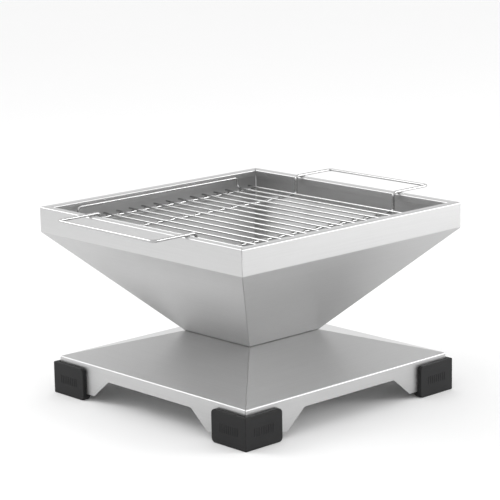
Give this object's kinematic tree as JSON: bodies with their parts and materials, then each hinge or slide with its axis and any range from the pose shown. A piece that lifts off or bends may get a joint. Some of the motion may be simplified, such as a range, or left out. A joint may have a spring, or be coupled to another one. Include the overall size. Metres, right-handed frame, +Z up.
{
  "type": "fire pit with grate",
  "caption": "Square folded-steel fire bowl bolted to a hollow base on rubber corner feet, with a wire cooking grate that hangs on the rim by its handles and lifts off.",
  "frame": {"origin": "on the ground, under the middle of the bowl", "axes": "+X along the grate's bars, +Y towards the back handle, +Z up"},
  "size_m": [0.4, 0.505, 0.2643],
  "materials": {
    "sheet_steel": "satin brushed stainless sheet",
    "wire_steel": "bright drawn stainless wire",
    "fastener_steel": "plain stainless fasteners",
    "foot_rubber": "matt black moulded rubber"
  },
  "bodies": {
    "pit": {"bowl_panel_left": "sheet_steel", "bowl_panel_right": "sheet_steel", "bowl_panel_front": "sheet_steel", "bowl_panel_back": "sheet_steel", "corner_strip_front_left": "sheet_steel", "corner_strip_front_right": "sheet_steel", "corner_strip_back_left": "sheet_steel", "corner_strip_back_right": "sheet_steel", "bowl_floor": "sheet_steel", "base_panel_left": "sheet_steel", "base_panel_right": "sheet_steel", "base_panel_front": "sheet_steel", "base_panel_back": "sheet_steel", "neck_screw_left": "fastener_steel", "neck_screw_right": "fastener_steel", "neck_screw_front": "fastener_steel", "neck_screw_back": "fastener_steel", "neck_washer_left": "fastener_steel", "neck_washer_right": "fastener_steel", "neck_washer_front": "fastener_steel", "neck_washer_back": "fastener_steel", "neck_nut_left": "fastener_steel", "neck_nut_right": "fastener_steel", "neck_nut_front": "fastener_steel", "neck_nut_back": "fastener_steel", "foot_front_left": "foot_rubber", "foot_front_right": "foot_rubber", "foot_back_left": "foot_rubber", "foot_back_right": "foot_rubber"},
    "grate": {"grate_bar_01": "wire_steel", "grate_bar_02": "wire_steel", "grate_bar_03": "wire_steel", "grate_bar_04": "wire_steel", "grate_bar_05": "wire_steel", "grate_bar_06": "wire_steel", "grate_bar_07": "wire_steel", "grate_bar_08": "wire_steel", "grate_bar_09": "wire_steel", "grate_bar_10": "wire_steel", "grate_bar_11": "wire_steel", "grate_bar_12": "wire_steel", "grate_bar_13": "wire_steel", "grate_bar_14": "wire_steel", "grate_cross_wire_left": "wire_steel", "grate_cross_wire_right": "wire_steel", "grate_rail_ring": "wire_steel", "grate_handle_loop": "wire_steel"}
  },
  "joints": [
    {"name": "grate_lift", "type": "slide", "parent": "pit", "child": "grate", "axis": [0, 0, 1], "range_m": [0, 0.15]}
  ]
}
